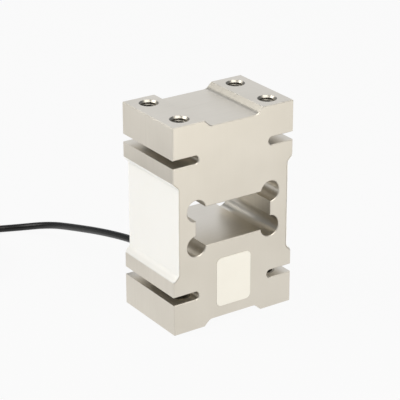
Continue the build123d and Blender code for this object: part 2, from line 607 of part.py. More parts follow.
# Ties round the coil: a band, its head on the outside, and the cut end of the band
band_width = COIL_OUTER_RADIUS - COIL_INNER_RADIUS + 2 * TIE_SLACK
band_height = COIL_HEIGHT + 2 * TIE_SLACK
band_middle = (COIL_OUTER_RADIUS + COIL_INNER_RADIUS) / 2
band_outside = COIL_OUTER_RADIUS + TIE_SLACK + TIE_THICKNESS
middle_height = COIL_BASE_Z + COIL_HEIGHT / 2
for name, angle in TIE_ANGLES.items():
    outward = Vector(1, 0, 0).rotate(Axis.Z, angle)
    head = Box(TIE_HEAD_HEIGHT, TIE_HEAD_WIDTH, TIE_HEAD_LENGTH)
    head = fillet(head.edges(), TIE_HEAD_EDGE_RADIUS)
    across_band = Plane(origin=(COIL_X, COIL_Y, 0), x_dir=outward, z_dir=outward.cross(Vector(0, 0, 1)))
    with BuildPart() as tie:
        with BuildSketch(across_band):
            with Locations((band_middle, middle_height)):
                RectangleRounded(
                    band_width + 2 * TIE_THICKNESS, band_height + 2 * TIE_THICKNESS, TIE_CORNER_RADIUS
                )
                RectangleRounded(
                    band_width, band_height, TIE_CORNER_RADIUS - TIE_THICKNESS, mode=Mode.SUBTRACT
                )
            with Locations((band_outside + (TIE_HEAD_HEIGHT + TIE_TAIL_LENGTH) / 2, middle_height)):
                Rectangle(TIE_HEAD_HEIGHT + TIE_TAIL_LENGTH, TIE_THICKNESS)
        extrude(amount=TIE_WIDTH / 2, both=True)
        head_place = Vector(COIL_X, COIL_Y, middle_height) + outward * (band_outside + TIE_HEAD_HEIGHT / 2)
        with Locations(Location(head_place, (0, 0, angle))):
            add(head)
    tie.part.label = f"cable_tie_{name}"
    export_step(tie.part, f"parts/cable_tie_{name}.step")

# Shrink sleeve, wide over the jacket and narrow over the leads
sleeve_start = TAIL_END_Y + SLEEVE_OVERLAP
sleeve_end = sleeve_start - SLEEVE_LENGTH
sleeve_bore = CABLE_DIAMETER / 2 + SLEEVE_CLEARANCE
with BuildPart() as jacket_sleeve:
    with BuildSketch(Plane.XY.offset(TAIL_Z)):
        with BuildLine():
            Polyline(
                (TAIL_END_X + sleeve_bore, sleeve_start),
                (TAIL_END_X + SLEEVE_DIAMETER / 2, sleeve_start),
                (TAIL_END_X + SLEEVE_DIAMETER / 2, TAIL_END_Y - SLEEVE_CLEARANCE),
                (TAIL_END_X + SLEEVE_NECK_DIAMETER / 2, sleeve_end + SLEEVE_NECK_LENGTH),
                (TAIL_END_X + SLEEVE_NECK_DIAMETER / 2, sleeve_end),
                (TAIL_END_X + SLEEVE_NECK_BORE / 2, sleeve_end),
                (TAIL_END_X + SLEEVE_NECK_BORE / 2, sleeve_end + SLEEVE_NECK_LENGTH),
                (TAIL_END_X + sleeve_bore, TAIL_END_Y - SLEEVE_CLEARANCE),
                close=True,
            )
        make_face()
    revolve(axis=Axis((TAIL_END_X, 0, TAIL_Z), (0, 1, 0)))
jacket_sleeve.part.label = "jacket_sleeve"
export_step(jacket_sleeve.part, "parts/jacket_sleeve.step")

# Flying leads from the end of the jacket, and their tinned tips
tips = []
for colour, angle, shift, (end_shift, reach) in zip(
    LEAD_COLOURS, LEAD_BUNDLE_ANGLES, LEAD_DROP_SHIFTS, LEAD_ENDS
):
    turn = math.radians(angle)
    start_x = TAIL_END_X + LEAD_BUNDLE_RADIUS * math.cos(turn)
    start_z = TAIL_Z + LEAD_BUNDLE_RADIUS * math.sin(turn)
    lead_path = [
        (start_x, TAIL_END_Y - SLEEVE_CLEARANCE, start_z),
        (start_x, TAIL_END_Y - LEAD_STRAIGHT, start_z),
        (TAIL_END_X + shift, TAIL_END_Y - LEAD_STRAIGHT - LEAD_DROP, LEAD_DIAMETER / 2),
        (TAIL_END_X + end_shift, TAIL_END_Y - reach, LEAD_DIAMETER / 2),
    ]
    radii = arc_radii(lead_path)
    print(colour, "lead radii", [round(radius, 1) for radius in radii])
    lead_tube = round_wire(lead_path, radii, LEAD_DIAMETER)
    heading = (Vector(lead_path[-1]) - Vector(lead_path[-2])).normalized()
    tip_end = Vector(lead_path[-1]) + heading * LEAD_TIP_LENGTH
    tips.append(round_wire([lead_path[-1], tip_end], [], LEAD_TIP_DIAMETER))
    with BuildPart() as flying_lead:
        add(lead_tube)
    flying_lead.part.label = f"{colour}_lead"
    export_step(flying_lead.part, f"parts/{colour}_lead.step")
with BuildPart() as lead_tips:
    add(tips)
lead_tips.part.label = "lead_tips"
export_step(lead_tips.part, "parts/lead_tips.step")
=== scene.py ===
import math

import bmesh
import bpy
from mathutils import Matrix, Vector, noise


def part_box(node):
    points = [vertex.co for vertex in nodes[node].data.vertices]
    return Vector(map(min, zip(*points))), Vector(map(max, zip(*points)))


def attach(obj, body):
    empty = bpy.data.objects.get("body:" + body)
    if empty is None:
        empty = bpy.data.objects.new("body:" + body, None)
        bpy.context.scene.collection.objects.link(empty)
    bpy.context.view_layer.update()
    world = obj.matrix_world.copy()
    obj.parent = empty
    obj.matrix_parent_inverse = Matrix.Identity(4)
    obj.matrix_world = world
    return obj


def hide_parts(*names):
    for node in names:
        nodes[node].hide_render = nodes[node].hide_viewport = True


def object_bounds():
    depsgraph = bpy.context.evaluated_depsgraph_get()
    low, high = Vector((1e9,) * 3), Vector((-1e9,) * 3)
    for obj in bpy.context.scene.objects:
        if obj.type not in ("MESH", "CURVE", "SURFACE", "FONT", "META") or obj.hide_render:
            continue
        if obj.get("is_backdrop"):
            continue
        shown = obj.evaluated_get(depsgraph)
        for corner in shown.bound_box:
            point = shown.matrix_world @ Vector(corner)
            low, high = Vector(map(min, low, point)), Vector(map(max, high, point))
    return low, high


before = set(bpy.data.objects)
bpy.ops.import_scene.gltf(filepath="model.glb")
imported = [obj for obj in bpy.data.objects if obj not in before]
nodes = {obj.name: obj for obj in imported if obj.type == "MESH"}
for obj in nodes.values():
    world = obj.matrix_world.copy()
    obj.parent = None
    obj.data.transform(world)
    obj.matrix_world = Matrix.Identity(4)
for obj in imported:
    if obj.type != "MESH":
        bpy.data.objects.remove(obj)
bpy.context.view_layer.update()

# Camera: a long lens from the front left and a little above, as the photograph was taken. Its place was
# worked out from the body's straight edges and the bolt holes.
VIEW_AZIMUTH = math.radians(-33.999)
VIEW_ELEVATION = math.radians(23.309)
VIEW_ROLL = math.radians(-0.095)
VIEW_DISTANCE = 1.3459
VIEW_TARGET = Vector((-0.00439, 0.00467, 0.08733))
view_right = Vector((math.cos(VIEW_AZIMUTH), math.sin(VIEW_AZIMUTH), 0))
view_back = Vector((
    math.sin(VIEW_AZIMUTH) * math.cos(VIEW_ELEVATION),
    -math.cos(VIEW_AZIMUTH) * math.cos(VIEW_ELEVATION),
    math.sin(VIEW_ELEVATION),
))
view_axes = Matrix((view_right, view_back.cross(view_right), view_back)).transposed()
lens = bpy.data.cameras.new("camera")
lens.sensor_width = 36
lens.lens = 155.7
lens.clip_start = 0.05
camera = bpy.data.objects.new("camera", lens)
bpy.context.collection.objects.link(camera)
camera.matrix_world = (
    Matrix.Translation(VIEW_TARGET + view_back * VIEW_DISTANCE)
    @ view_axes.to_4x4()
    @ Matrix.Rotation(VIEW_ROLL, 4, "Z")
)
bpy.context.scene.camera = camera


# Spring body: one block of aluminium alloy, milled to one profile through its whole depth, with its front
# and back skimmed to a satin. On the walls the cutter's fine lines follow the profile; bores are smoother.
# Inside the window and in the bores the colour is painted darker, and darker still on the threads: painted
# shade.
# Lengths in a material are in metres, and those that place a piece in millimetres.
body_low, body_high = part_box("beam")
MIDDLE_Z = (body_low[2] + body_high[2]) / 2 * 1000
BOLT_X = 40.0
BOLT_Y = 21.0
LINE_PITCH = 0.0006  # real cutter marks are about 0.1 mm apart: drawn wider, so that they show
PASS_PITCH = 0.0024
LINE_STRETCH = 60
LINE_DEPTH = 0.000004
BODY_LIGHT = "#dfd9ce"
BODY_DARK = "#d4cec2"
FACE_ROUGHNESS = 0.48
WALL_ROUGHNESS = 0.40
WINDOW_ROUGHNESS = 0.33
BORE_ROUGHNESS = 0.34
# Painted shade: how far the colour is darkened inside the window, in the bores and, on top of that, on the
# threads.
WINDOW_PAINTED_SHADE = 0.94
BORE_PAINTED_SHADE = 0.70
THREAD_PAINTED_SHADE = 0.75
SKIMMED_FACING = 0.6
WINDOW_REACH_X = 0.0435
WINDOW_REACH_Z = 0.0245
BORE_REACH = 0.0078
THREADS_FROM_MIDDLE = 0.0834
ENDS_FROM_MIDDLE = 0.055


def hex_colour(text):
    """An sRGB hex colour as the linear red, green, blue and alpha that a shader takes."""
    values = [int(text[i:i + 2], 16) / 255 for i in (1, 3, 5)]
    return [v / 12.92 if v <= 0.04045 else ((v + 0.055) / 1.055) ** 2.4 for v in values] + [1]


def add_node(material, kind, inputs=None, **settings):
    """Adds a shader node: each input is a value, or the output socket of another node."""
    node = material.node_tree.nodes.new(kind)
    for name, value in settings.items():
        setattr(node, name, value)
    for name, value in (inputs or {}).items():
        if isinstance(value, bpy.types.NodeSocket):
            material.node_tree.links.new(value, node.inputs[name])
        else:
            node.inputs[name].default_value = value
    return node


def new_material(name, **values):
    """A node material with one Principled shader, whose plain values are set by socket name."""
    material = bpy.data.materials.new(name)
    material.use_nodes = True
    shader = material.node_tree.nodes["Principled BSDF"]
    for socket, value in values.items():
        shader.inputs[socket.replace("_", " ")].default_value = value
    return material, shader


def wire_up(material, shader, **sockets):
    """Joins outputs of nodes to the shader's sockets."""
    for name, output in sockets.items():
        material.node_tree.links.new(output, shader.inputs[name.replace("_", " ")])


def dress(node, material):
    """Gives a carried-over node its material."""
    nodes[node].data.materials.clear()
    nodes[node].data.materials.append(material)


aluminium, shader = new_material("milled_aluminium", Metallic=1.0)
place = add_node(aluminium, "ShaderNodeTexCoord").outputs["Object"]
facing = add_node(aluminium, "ShaderNodeNewGeometry").outputs["Normal"]
along_depth = add_node(aluminium, "ShaderNodeSeparateXYZ", {"Vector": facing}).outputs["Y"]
across = add_node(aluminium, "ShaderNodeMath", {0: along_depth}, operation="ABSOLUTE").outputs[0]
skimmed = add_node(
    aluminium, "ShaderNodeMath", {0: across, 1: SKIMMED_FACING}, operation="GREATER_THAN"
).outputs[0]
fine = 1 / LINE_PITCH
coarse = fine / LINE_STRETCH
wall_place = add_node(
    aluminium, "ShaderNodeVectorMath", {0: place, 1: (coarse, fine, coarse)}, operation="MULTIPLY"
).outputs[0]
pass_place = add_node(aluminium, "ShaderNodeVectorMath", {
    0: wall_place, 1: (1.0, LINE_PITCH / PASS_PITCH, 1.0)
}, operation="MULTIPLY").outputs[0]
face_place = add_node(
    aluminium, "ShaderNodeVectorMath", {0: place, 1: (fine, fine, coarse)}, operation="MULTIPLY"
).outputs[0]
wall_lines = add_node(aluminium, "ShaderNodeTexNoise", {"Vector": wall_place, "Scale": 1.0, "Detail": 2.0})
passes = add_node(aluminium, "ShaderNodeTexNoise", {"Vector": pass_place, "Scale": 1.0, "Detail": 1.0})
wall_marks = add_node(aluminium, "ShaderNodeMix", {
    "Factor": 0.5, "A": wall_lines.outputs["Fac"], "B": passes.outputs["Fac"]
}).outputs["Result"]
face_lines = add_node(aluminium, "ShaderNodeTexNoise", {"Vector": face_place, "Scale": 1.0, "Detail": 2.0})
faint_lines = add_node(
    aluminium, "ShaderNodeMapRange", {"Value": face_lines.outputs["Fac"], "To Min": 0.4, "To Max": 0.6}
)
lines = add_node(aluminium, "ShaderNodeMix", {
    "Factor": skimmed, "A": wall_marks, "B": faint_lines.outputs["Result"]
}).outputs["Result"]
cloud = add_node(
    aluminium, "ShaderNodeTexNoise", {"Vector": place, "Scale": 24.0, "Detail": 2.0}
).outputs["Fac"]
mottle = add_node(aluminium, "ShaderNodeMath", {0: lines, 1: cloud}, operation="ADD").outputs[0]
tint = add_node(aluminium, "ShaderNodeMapRange", {"Value": mottle, "From Min": 0.6, "From Max": 1.4})
shade = add_node(aluminium, "ShaderNodeValToRGB", {"Fac": tint.outputs["Result"]})
shade.color_ramp.elements[0].color = hex_colour(BODY_DARK)
shade.color_ramp.elements[1].color = hex_colour(BODY_LIGHT)
from_middle = add_node(
    aluminium, "ShaderNodeVectorMath", {0: place, 1: (0.0, 0.0, MIDDLE_Z / 1000)}, operation="SUBTRACT"
).outputs[0]
mirrored = add_node(aluminium, "ShaderNodeVectorMath", {0: from_middle}, operation="ABSOLUTE").outputs[0]
reach = add_node(aluminium, "ShaderNodeSeparateXYZ", {"Vector": mirrored})
beside = add_node(
    aluminium, "ShaderNodeMath", {0: reach.outputs["X"], 1: WINDOW_REACH_X}, operation="LESS_THAN"
).outputs[0]
level = add_node(
    aluminium, "ShaderNodeMath", {0: reach.outputs["Z"], 1: WINDOW_REACH_Z}, operation="LESS_THAN"
).outputs[0]
on_wall = add_node(aluminium, "ShaderNodeMath", {0: 1.0, 1: skimmed}, operation="SUBTRACT").outputs[0]
within = add_node(aluminium, "ShaderNodeMath", {0: beside, 1: level}, operation="MULTIPLY").outputs[0]
in_window = add_node(aluminium, "ShaderNodeMath", {0: within, 1: on_wall}, operation="MULTIPLY").outputs[0]
off_bolt = add_node(aluminium, "ShaderNodeVectorMath", {
    0: mirrored, 1: (BOLT_X / 1000, BOLT_Y / 1000, 0.0)
}, operation="SUBTRACT").outputs[0]
off_axis = add_node(
    aluminium, "ShaderNodeVectorMath", {0: off_bolt, 1: (1.0, 1.0, 0.0)}, operation="MULTIPLY"
).outputs[0]
distance = add_node(aluminium, "ShaderNodeVectorMath", {0: off_axis}, operation="LENGTH").outputs["Value"]
near_bolt = add_node(
    aluminium, "ShaderNodeMath", {0: distance, 1: BORE_REACH}, operation="LESS_THAN"
).outputs[0]
near_end = add_node(
    aluminium, "ShaderNodeMath", {0: reach.outputs["Z"], 1: ENDS_FROM_MIDDLE}, operation="GREATER_THAN"
).outputs[0]
in_bore = add_node(
    aluminium, "ShaderNodeMath", {0: near_bolt, 1: near_end}, operation="MULTIPLY"
).outputs[0]
below_mouth = add_node(
    aluminium, "ShaderNodeMath", {0: reach.outputs["Z"], 1: THREADS_FROM_MIDDLE}, operation="LESS_THAN"
).outputs[0]
on_thread = add_node(
    aluminium, "ShaderNodeMath", {0: in_bore, 1: below_mouth}, operation="MULTIPLY"
).outputs[0]
metal_colour = shade.outputs["Color"]
# Painted shade: the metal's colour is scaled down inside the window, in the bores and again on the threads.
painted_shades = ((in_window, WINDOW_PAINTED_SHADE), (in_bore, BORE_PAINTED_SHADE), (on_thread, THREAD_PAINTED_SHADE))
for mask, darkest in painted_shades:
    painted_darkening = add_node(aluminium, "ShaderNodeMapRange", {"Value": mask, "To Min": 1.0, "To Max": darkest})
    metal_colour = add_node(aluminium, "ShaderNodeVectorMath", {
        0: metal_colour, "Scale": painted_darkening.outputs["Result"]
    }, operation="SCALE").outputs[0]
satin = WALL_ROUGHNESS
finishes = ((in_window, WINDOW_ROUGHNESS), (skimmed, FACE_ROUGHNESS), (in_bore, BORE_ROUGHNESS))
for mask, roughness in finishes:
    satin = add_node(
        aluminium, "ShaderNodeMix", {"Factor": mask, "A": satin, "B": roughness}
    ).outputs["Result"]
uneven = add_node(aluminium, "ShaderNodeMapRange", {
    "Value": lines, "From Min": 0.3, "From Max": 0.7, "To Min": 0.94, "To Max": 1.06
})
gloss = add_node(
    aluminium, "ShaderNodeMath", {0: satin, 1: uneven.outputs["Result"]}, operation="MULTIPLY"
).outputs[0]
bump = add_node(aluminium, "ShaderNodeBump", {"Height": lines, "Strength": 1.0, "Distance": LINE_DEPTH})
wire_up(aluminium, shader, Base_Color=metal_colour, Roughness=gloss, Normal=bump.outputs["Normal"])
dress("beam", aluminium)


# Threads: M12 with a pitch of 1.75 mm, cut by a tap into the same alloy in each of the eight holes, from
# the countersink to the slot. Each is one ridge that winds round the wall and runs out at both ends.
HOLE_CENTRES = [(x, y) for x in (-BOLT_X, BOLT_X) for y in (-BOLT_Y, BOLT_Y)]
THREADED_LENGTHS = [(1.6, 25.7), (144.3, 168.4)]
THREAD_PITCH = 1.75
THREAD_ROOT_RADIUS = 6.02
THREAD_CREST_RADIUS = 5.1
RIDGE_FOOT = 1.5
RIDGE_CREST = 0.3
STEPS_PER_TURN = 32
RUN_OUT_STEPS = 16
SHARP_RIDGE_ANGLE = 25


def piece_from(name, mesh, material, slot, *replaced):
    """Puts a new mesh on the body as a piece of the object."""
    piece = bpy.data.objects.new(name, mesh)
    bpy.context.collection.objects.link(piece)
    mesh.materials.append(material)
    if replaced:
        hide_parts(*replaced)
    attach(piece, "root")
    return piece


def shell_of_rings(bm, rings, closed=False):
    """Faces between rings of points in millimetres, with a cap at each end unless the rings close up."""
    made = [[bm.verts.new([v / 1000 for v in point]) for point in ring] for ring in rings]
    pairs = list(zip(made, made[1:])) + ([(made[-1], made[0])] if closed else [])
    for ring, following in pairs:
        for i in range(len(ring)):
            k = (i + 1) % len(ring)
            bm.faces.new((ring[i], ring[k], following[k], following[i]))
    if not closed:
        bm.faces.new(reversed(made[0]))
        bm.faces.new(made[-1])
    return made


def finished_mesh(bm, name, smooth_angle=None):
    """A mesh from the worked faces, outward facing, smooth below the given angle."""
    bmesh.ops.recalc_face_normals(bm, faces=bm.faces)
    mesh = bpy.data.meshes.new(name)
    bm.to_mesh(mesh)
    bm.free()
    if smooth_angle is not None:
        mesh.shade_smooth()
        mesh.set_sharp_from_angle(angle=math.radians(smooth_angle))
    return mesh


bm = bmesh.new()
for x, y in HOLE_CENTRES:
    for low, high in THREADED_LENGTHS:
        steps = int((high - low - RIDGE_FOOT) / THREAD_PITCH * STEPS_PER_TURN)
        rings = []
        for step in range(steps + 1):
            angle = 2 * math.pi * step / STEPS_PER_TURN
            z = low + RIDGE_FOOT / 2 + THREAD_PITCH * step / STEPS_PER_TURN
            height = min(1.0, (step + 1) / RUN_OUT_STEPS, (steps - step + 1) / RUN_OUT_STEPS)
            crest = THREAD_ROOT_RADIUS - (THREAD_ROOT_RADIUS - THREAD_CREST_RADIUS) * height
            rings.append([
                (x + radius * math.cos(angle), y + radius * math.sin(angle), z + rise)
                for radius, rise in (
                    (THREAD_ROOT_RADIUS, -RIDGE_FOOT / 2), (crest, -RIDGE_CREST / 2),
                    (crest, RIDGE_CREST / 2), (THREAD_ROOT_RADIUS, RIDGE_FOOT / 2),
                )
            ])
        shell_of_rings(bm, rings)
piece_from("threads", finished_mesh(bm, "threads", SHARP_RIDGE_ANGLE), aluminium, "aluminium")


# Side covers: a sheet of white silicone rubber, 0.7 mm thick, moulded to the floor and the shoulders of
# each recess and bonded there over the gauges. Its rim is a little rounded, the glue lets it undulate, and
# its colour is painted darker towards the lower foot, where it turns outwards: painted shade.
RECESS_MOUTH = 40.75
RECESS_DEPTH = 5.0
RECESS_FOOT_RADIUS = 4.0
SIDE_X = body_high[0] * 1000
SHEET_THICKNESS = 0.7
SHEET_LIFT = 0.1
SHEET_RIM = 0.35
SHEET_CORNER = 2.2
SHEET_HALF_DEPTH = 35.0
SHEET_HALF_LENGTH = 42.5
RIM_STEPS = 5
FLAT_CUTS = [step * 6.0 for step in range(-5, 6)]
BEND_CUTS = [side * (33.9 + 0.45 * step) for side in (-1, 1) for step in range(9)]
DEPTH_CUTS = range(-32, 33, 4)
WAVE_HEIGHT = 0.03
WAVE_LENGTH = 9
WAVES_APART = 5.0
SHARP_RIM_ANGLE = 35
# Painted shade: between these heights the sheet's colour darkens towards its lower foot.
FOOT_SHADED_BELOW = 0.0472
FOOT_UNSHADED_ABOVE = 0.0512
FOOT_PAINTED_SHADE = 0.84


def rounded_outline(half_wide, half_high, radius, steps=8):
    """Points round a rectangle with rounded corners."""
    points = []
    for corner, (right, up) in enumerate(((1, 1), (-1, 1), (-1, -1), (1, -1))):
        for step in range(steps + 1):
            angle = math.pi / 2 * (corner + step / steps)
            points.append((
                right * (half_wide - radius) + radius * math.cos(angle),
                up * (half_high - radius) + radius * math.sin(angle),
            ))
    return points


def on_recess(s, height):
    """Depth below the mouth and distance from the middle, at a length s along the recess's section."""
    corner = RECESS_MOUTH - RECESS_DEPTH
    cut = RECESS_FOOT_RADIUS * math.tan(math.pi / 8)
    floor_end = corner - cut
    arc = RECESS_FOOT_RADIUS * math.pi / 4
    turned = min(max(abs(s) - floor_end, 0), arc) / RECESS_FOOT_RADIUS
    beyond = max(abs(s) - floor_end - arc, 0)
    out = min(abs(s), floor_end) + RECESS_FOOT_RADIUS * math.sin(turned) + beyond * math.cos(turned)
    rise = RECESS_FOOT_RADIUS * (1 - math.cos(turned)) + beyond * math.sin(turned)
    out -= height * math.sin(turned)
    rise += height * math.cos(turned)
    return RECESS_DEPTH - rise, math.copysign(out, s)


silicone, shader = new_material(
    "white_silicone_sheet", Base_Color=hex_colour("#f8f6f1"), Roughness=0.55, IOR=1.41, Subsurface_Weight=0.1,
    Subsurface_Radius=(0.002, 0.0018, 0.0015), Subsurface_Scale=0.5,
)
place = add_node(silicone, "ShaderNodeTexCoord").outputs["Object"]
dust = add_node(
    silicone, "ShaderNodeTexNoise", {"Vector": place, "Scale": 2200.0, "Detail": 3.0}
).outputs["Fac"]
cloud = add_node(
    silicone, "ShaderNodeTexNoise", {"Vector": place, "Scale": 40.0, "Detail": 3.0}
).outputs["Fac"]
shade = add_node(silicone, "ShaderNodeValToRGB", {"Fac": cloud})
shade.color_ramp.elements[0].color = hex_colour("#f7f5ef")
shade.color_ramp.elements[1].color = hex_colour("#faf8f3")
gloss = add_node(silicone, "ShaderNodeMapRange", {"Value": cloud, "To Min": 0.48, "To Max": 0.62})
bump = add_node(silicone, "ShaderNodeBump", {"Height": dust, "Strength": 0.5, "Distance": 0.00002})
# Painted shade: the sheet's colour is scaled down towards its lower foot, where it turns outwards.
z_place = add_node(silicone, "ShaderNodeSeparateXYZ", {"Vector": place}).outputs["Z"]
foot_shade_factor = add_node(silicone, "ShaderNodeMapRange", {
    "Value": z_place, "From Min": FOOT_SHADED_BELOW, "From Max": FOOT_UNSHADED_ABOVE, "To Min": FOOT_PAINTED_SHADE, "To Max": 1.0
}).outputs["Result"]
foot_shaded_colour = add_node(
    silicone, "ShaderNodeVectorMath", {0: shade.outputs["Color"], "Scale": foot_shade_factor}, operation="SCALE"
).outputs["Vector"]
wire_up(
    silicone, shader, Base_Color=foot_shaded_colour, Roughness=gloss.outputs["Result"], Normal=bump.outputs["Normal"]
)
for name, side in (("left", -1), ("right", 1)):
    bm = bmesh.new()
    rim = [(0.0, SHEET_LIFT)]
    for step in range(RIM_STEPS + 1):
        angle = math.pi / 2 * step / RIM_STEPS
        rim.append((
            SHEET_RIM * (1 - math.cos(angle)),
            SHEET_LIFT + SHEET_THICKNESS - SHEET_RIM * (1 - math.sin(angle)),
        ))
    rings = []
    for inset, height in rim:
        outline = rounded_outline(SHEET_HALF_DEPTH - inset, SHEET_HALF_LENGTH - inset, SHEET_CORNER - inset)
        rings.append([(y, s, height) for y, s in outline])
    shell_of_rings(bm, rings)
    cuts = [((0, s / 1000, 0), (0, 1, 0)) for s in FLAT_CUTS + BEND_CUTS]
    cuts += [((y / 1000, 0, 0), (1, 0, 0)) for y in DEPTH_CUTS]
    for through, facing in cuts:
        bmesh.ops.bisect_plane(
            bm, geom=bm.verts[:] + bm.edges[:] + bm.faces[:], plane_co=through, plane_no=facing
        )
    for vert in bm.verts:
        y, s, height = vert.co * 1000
        if height > SHEET_LIFT + SHEET_THICKNESS / 2:
            wave = Vector((y / WAVE_LENGTH, s / WAVE_LENGTH, side * WAVES_APART))
            height += WAVE_HEIGHT * noise.noise(wave)
        depth, out = on_recess(s, height)
        vert.co = (side * (SIDE_X - max(depth, 0.0)) / 1000, y / 1000, (MIDDLE_Z + out) / 1000)
    sheet = finished_mesh(bm, f"{name}_cover_sheet", SHARP_RIM_ANGLE)
    piece_from(f"{name}_cover_sheet", sheet, silicone, "silicone_sheet", f"{name}_cover")


# Plug of the wiring cavity: cream casting resin, poured in and left slightly proud, with a matt skin in
# which a few fine specks and the slow flow of the pour can just be seen.
resin, shader = new_material(
    "cream_casting_resin", Base_Color=hex_colour("#f8f3e8"), Roughness=0.5, IOR=1.52
)
place = add_node(resin, "ShaderNodeTexCoord").outputs["Object"]
flow = add_node(resin, "ShaderNodeTexNoise", {"Vector": place, "Scale": 60.0, "Detail": 4.0}).outputs["Fac"]
specks = add_node(
    resin, "ShaderNodeTexNoise", {"Vector": place, "Scale": 1800.0, "Detail": 2.0}
).outputs["Fac"]
shade = add_node(resin, "ShaderNodeValToRGB", {"Fac": flow})
shade.color_ramp.elements[0].color = hex_colour("#f5f0e4")
shade.color_ramp.elements[1].color = hex_colour("#faf6eb")
gloss = add_node(resin, "ShaderNodeMapRange", {"Value": flow, "To Min": 0.42, "To Max": 0.58})
bump = add_node(resin, "ShaderNodeBump", {"Height": specks, "Strength": 0.4, "Distance": 0.00002})
wire_up(
    resin, shader,
    Base_Color=shade.outputs["Color"], Roughness=gloss.outputs["Result"], Normal=bump.outputs["Normal"],
)
dress("cavity_plug", resin)


# Trim board in the cavity: green glass laminate under solder resist, with faint copper tracks below it. It
# rests on a pad of grey open foam, whose cells are about 0.4 mm across.
laminate, shader = new_material(
    "green_solder_resist", Base_Color=hex_colour("#1d5a37"), Roughness=0.35, IOR=1.5
)
place = add_node(laminate, "ShaderNodeTexCoord").outputs["Object"]
tracks = add_node(laminate, "ShaderNodeTexWave", {
    "Vector": place, "Scale": 120.0, "Distortion": 1.5, "Detail": 0.0
}, bands_direction="Z").outputs["Fac"]
shade = add_node(laminate, "ShaderNodeValToRGB", {"Fac": tracks})
shade.color_ramp.elements[0].position = 0.45
shade.color_ramp.elements[0].color = hex_colour("#1a4f31")
shade.color_ramp.elements[1].position = 0.55
shade.color_ramp.elements[1].color = hex_colour("#2c7044")
bump = add_node(laminate, "ShaderNodeBump", {"Height": tracks, "Strength": 0.6, "Distance": 0.00004})
wire_up(laminate, shader, Base_Color=shade.outputs["Color"], Normal=bump.outputs["Normal"])
dress("trim_board", laminate)

foam, shader = new_material("grey_open_foam", Base_Color=hex_colour("#76787a"), Roughness=0.95)
place = add_node(foam, "ShaderNodeTexCoord").outputs["Object"]
cells = add_node(foam, "ShaderNodeTexVoronoi", {"Vector": place, "Scale": 2500.0}).outputs["Distance"]
shade = add_node(foam, "ShaderNodeValToRGB", {"Fac": cells})
shade.color_ramp.elements[0].color = hex_colour("#4d4f51")
shade.color_ramp.elements[1].color = hex_colour("#8a8c8d")
bump = add_node(foam, "ShaderNodeBump", {"Height": cells, "Strength": 0.8, "Distance": 0.0002})
wire_up(foam, shader, Base_Color=shade.outputs["Color"], Normal=bump.outputs["Normal"])
dress("board_pad", foam)


# Trim resistors: a ceramic rod under pale blue lacquer with printed colour bands, 0.5 mm wide, and tinned
# leads that leave it at both ends.
BAND_STARTS = (-2.4, -1.5, -0.6, 0.3, 1.9)
BAND_COLOURS = ("#7a3b1c", "#1d1d1d", "#b3271f", "#8c4a20", "#a98a35")
BAND_WIDTH = 0.5
ROD_END = 3.2
LEADS_FROM = 0.00322
LACQUER_COLOUR = "#79a3b8"
lacquer, shader = new_material("banded_resistor_lacquer", Base_Color=hex_colour(LACQUER_COLOUR), IOR=1.5)
place = add_node(lacquer, "ShaderNodeTexCoord").outputs["Object"]
x_place = add_node(lacquer, "ShaderNodeSeparateXYZ", {"Vector": place}).outputs["X"]
along = add_node(lacquer, "ShaderNodeMapRange", {
    "Value": x_place, "From Min": -ROD_END / 1000, "From Max": ROD_END / 1000
})
bands = add_node(lacquer, "ShaderNodeValToRGB", {"Fac": along.outputs["Result"]})
bands.color_ramp.interpolation = "CONSTANT"
bands.color_ramp.elements[0].color = hex_colour(LACQUER_COLOUR)
bands.color_ramp.elements[1].position = 0.99
bands.color_ramp.elements[1].color = hex_colour(LACQUER_COLOUR)
for start, colour in zip(BAND_STARTS, BAND_COLOURS):
    for edge, edge_colour in ((start, colour), (start + BAND_WIDTH, LACQUER_COLOUR)):
        bands.color_ramp.elements.new((edge + ROD_END) / (2 * ROD_END)).color = hex_colour(edge_colour)
distance = add_node(lacquer, "ShaderNodeMath", {0: x_place}, operation="ABSOLUTE").outputs[0]
bare = add_node(
    lacquer, "ShaderNodeMath", {0: distance, 1: LEADS_FROM}, operation="GREATER_THAN"
).outputs[0]
uneven = add_node(
    lacquer, "ShaderNodeTexNoise", {"Vector": place, "Scale": 900.0, "Detail": 2.0}
).outputs["Fac"]
gloss = add_node(lacquer, "ShaderNodeMapRange", {"Value": uneven, "To Min": 0.18, "To Max": 0.32})
wire_up(
    lacquer, shader,
    Base_Color=bands.outputs["Color"], Roughness=gloss.outputs["Result"], Metallic=bare,
)
for name in ("zero_trim", "zero_temperature", "span_trim", "span_temperature"):
    dress(f"{name}_resistor", lacquer)


# Strain gauges and terminal strips: amber polyimide film with a foil grid of copper-nickel alloy, and thin
# glass laminate with tinned pads. The metal lies on the outer 0.15 mm of each piece.
GAUGE_FOIL_FROM = 0.04906
STRIP_PADS_FROM = 0.04911


